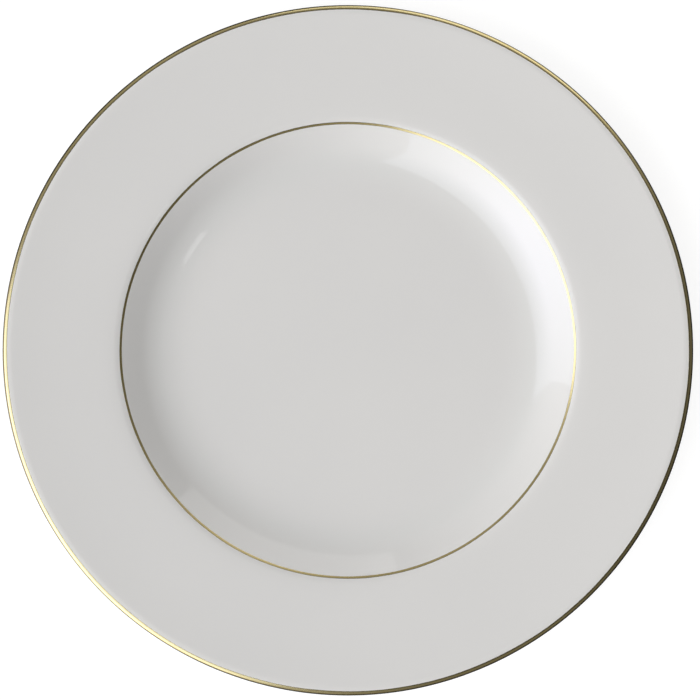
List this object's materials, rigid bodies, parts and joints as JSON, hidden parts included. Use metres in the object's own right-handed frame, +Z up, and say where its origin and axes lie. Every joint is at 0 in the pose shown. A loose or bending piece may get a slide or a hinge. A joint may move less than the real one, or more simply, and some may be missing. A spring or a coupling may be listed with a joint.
{
  "type": "dinner plate",
  "caption": "Round white china dinner plate with a wide rim, a shallow well, a foot ring and gilded lines at the lip and the verge.",
  "frame": {"origin": "centre of the foot ring's contact plane, where the plate stands on the table", "axes": "+Z up along the plate's axis of symmetry, out of the well; X and Y are any two directions across the round plate"},
  "size_m": [0.27, 0.27, 0.0197],
  "materials": {
    "porcelain": "matte",
    "glaze": "gloss",
    "gold": "polished",
    "ink": "satin"
  },
  "bodies": {
    "root": {"porcelain_body": "porcelain", "outer_glaze": "glaze", "recess_glaze": "glaze", "rim_gold_band": "gold", "verge_gold_line": "gold", "underside_mark": "ink"}
  },
  "joints": []
}
